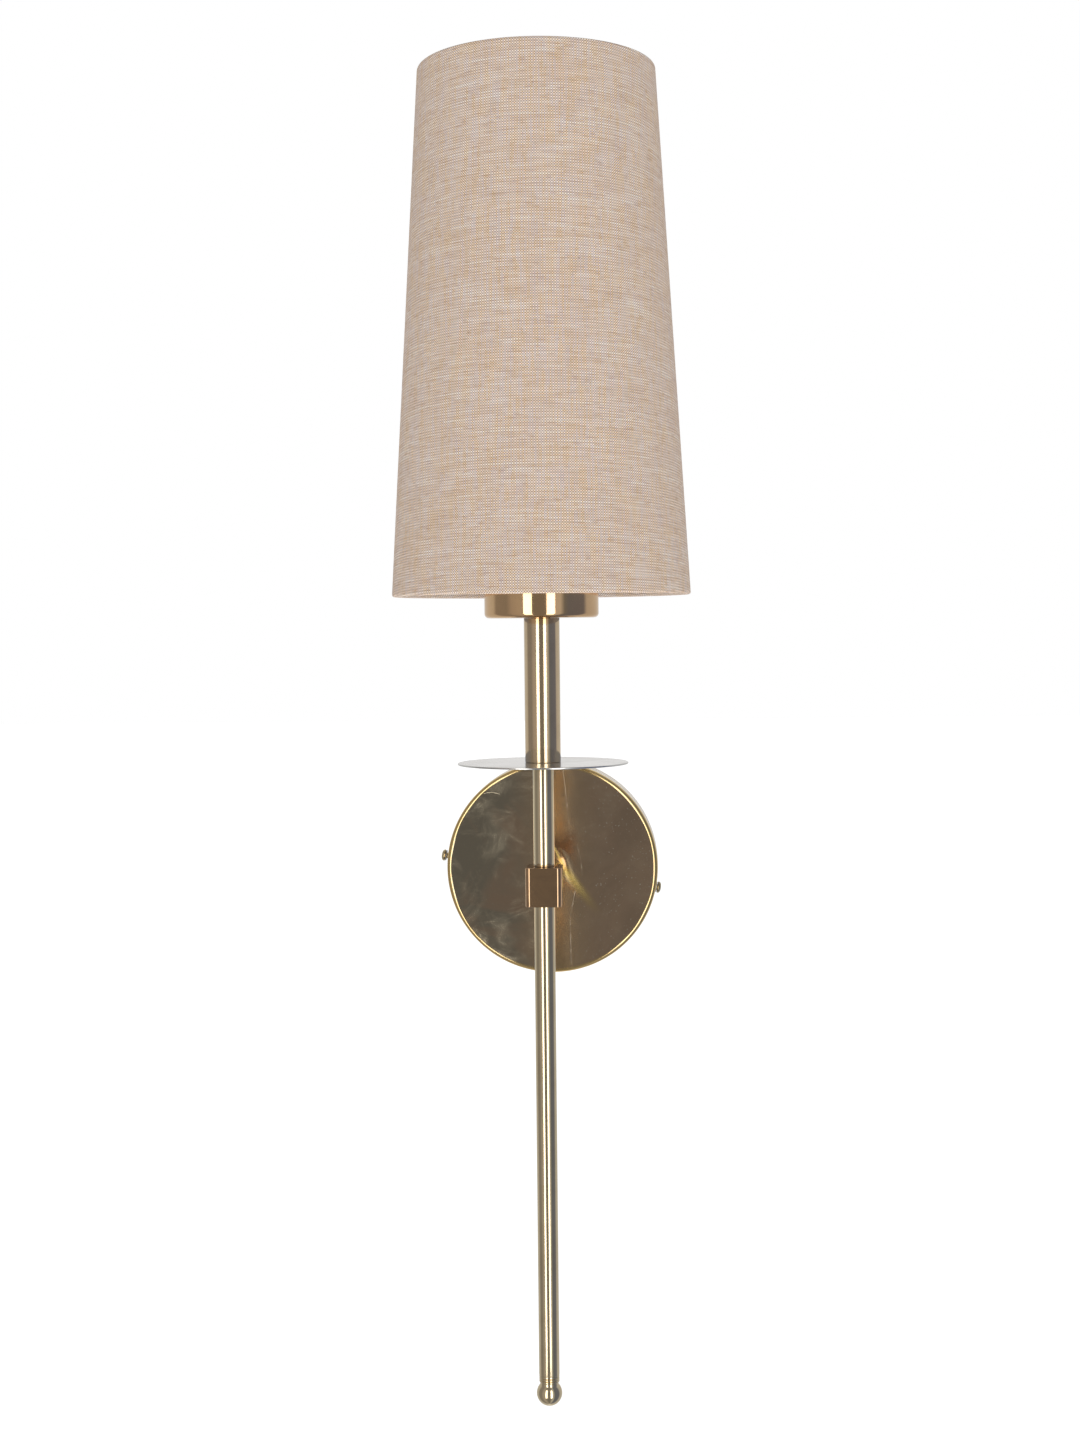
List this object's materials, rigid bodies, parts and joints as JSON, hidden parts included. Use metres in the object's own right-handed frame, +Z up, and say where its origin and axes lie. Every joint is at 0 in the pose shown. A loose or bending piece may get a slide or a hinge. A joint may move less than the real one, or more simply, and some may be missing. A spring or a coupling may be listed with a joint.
{
  "type": "wall light",
  "caption": "Electric wall light: round canopy on a wall bracket, short arm, square knuckle, slim stem with ball finial and disc, and a tapered fabric shade over a screw-base lampholder.",
  "frame": {"origin": "centre of the wall bracket's back face, on the wall plane, level with the arm's axis", "axes": "+Z up along the stem, +Y into the wall, +X to the right as seen from the room in front of the light"},
  "size_m": [0.1326, 0.1552, 0.5964],
  "materials": {
    "antique_brass": "polished antique brass under clear lacquer",
    "bright_brass": "polished, a brighter gold than the stem",
    "contact_brass": "plain brass",
    "disc_steel": "bright nickel-plated steel, a little satin",
    "zinc_steel": "zinc-plated steel",
    "white_wire": "white powder coat on steel wire",
    "linen": "plain-woven taupe linen with slubs",
    "shade_liner": "ivory styrene sheet, laminated behind the linen",
    "black_phenolic": "moulded black phenolic",
    "white_ceramic": "glazed steatite",
    "white_nylon": "moulded white nylon",
    "bulb_glass": "clear thin glass",
    "bulb_metal": "nickel-plated cap",
    "bulb_insulator": "black vitrite glass",
    "filament": "yellow phosphor strips on a clear stem",
    "live_insulation": "brown insulated wire",
    "neutral_insulation": "blue insulated wire",
    "earth_insulation": "green and yellow insulated wire"
  },
  "bodies": {
    "bracket": {"wall_bracket": "zinc_steel"},
    "lamp": {"canopy": "antique_brass", "arm_tube": "antique_brass", "arm_stud": "zinc_steel", "arm_lock_washer": "zinc_steel", "earth_lug": "zinc_steel", "arm_nut": "zinc_steel", "knuckle_block": "antique_brass", "lower_rod": "antique_brass", "lower_stud": "zinc_steel", "ball_finial": "antique_brass", "upper_rod": "antique_brass", "drip_disc": "disc_steel", "upper_sleeve": "antique_brass", "stem_stud": "zinc_steel", "fitter_cup": "bright_brass", "stem_nut": "zinc_steel", "lampholder_cap": "black_phenolic", "lampholder_insert": "white_ceramic", "lampholder_screw_shell": "contact_brass", "lampholder_centre_contact": "contact_brass", "lampholder_skirt": "black_phenolic", "wire_live": "live_insulation", "wire_neutral": "neutral_insulation", "wire_earth": "earth_insulation", "terminal_block": "white_nylon", "terminal_screw_live_in": "contact_brass", "terminal_screw_live_out": "contact_brass", "terminal_screw_neutral_in": "contact_brass", "terminal_screw_neutral_out": "contact_brass", "terminal_screw_earth_in": "contact_brass", "terminal_screw_earth_out": "contact_brass"},
    "washer_left": {"side_washer_left": "zinc_steel"},
    "screw_left": {"side_screw_left": "antique_brass"},
    "washer_right": {"side_washer_right": "zinc_steel"},
    "screw_right": {"side_screw_right": "antique_brass"},
    "slip_ring": {"shade_slip_ring": "white_nylon"},
    "ring_nut": {"shade_ring_nut": "black_phenolic"},
    "shade": {"shade_fabric": "linen", "shade_liner": "shade_liner", "shade_top_ring": "white_wire", "shade_fitter": "white_wire"},
    "bulb": {"bulb_glass": "bulb_glass", "bulb_filaments": "filament", "bulb_screw_base": "bulb_metal", "bulb_insulator": "bulb_insulator", "bulb_contact": "bulb_metal"}
  },
  "joints": [
    {"name": "lamp_lift_off", "type": "slide", "parent": "bracket", "child": "lamp", "axis": [0, -1, 0], "range_m": [0, 0.04]},
    {"name": "screw_left_travel", "type": "slide", "parent": "bracket", "child": "washer_left", "axis": [-0.9882, 0, 0.153], "range_m": [-0.0012, 0.0033]},
    {"name": "screw_left_turn", "type": "hinge", "parent": "washer_left", "child": "screw_left", "pos_m": [-0.05185, -0.011, 0.00499], "axis": [-0.9882, 0, 0.153], "range_deg": [-864, 2376]},
    {"name": "screw_right_travel", "type": "slide", "parent": "bracket", "child": "washer_right", "axis": [0.9882, 0, -0.153], "range_m": [0, 0.0045]},
    {"name": "screw_right_turn", "type": "hinge", "parent": "washer_right", "child": "screw_right", "pos_m": [0.04974, -0.011, -0.01074], "axis": [0.9882, 0, -0.153], "range_deg": [0, 3240]},
    {"name": "shade_lift", "type": "slide", "parent": "lamp", "child": "slip_ring", "axis": [0, 0, 1], "range_m": [0, 0.13]},
    {"name": "shade_swivel", "type": "hinge", "parent": "slip_ring", "child": "shade", "pos_m": [0, -0.0889, 0.152], "axis": [0, 0, 1], "continuous": true},
    {"name": "ring_nut_turn", "type": "hinge", "parent": "slip_ring", "child": "ring_nut", "pos_m": [0, -0.0889, 0.156], "axis": [0, 0, 1], "continuous": true},
    {"name": "bulb_out", "type": "slide", "parent": "lamp", "child": "bulb", "axis": [0, 0, 1], "range_m": [0, 0.06]}
  ],
  "couplings": [
    {"joint": "screw_left_turn", "follows": "screw_left_travel", "rad_per_m": 12566},
    {"joint": "screw_right_turn", "follows": "screw_right_travel", "rad_per_m": 12566}
  ]
}
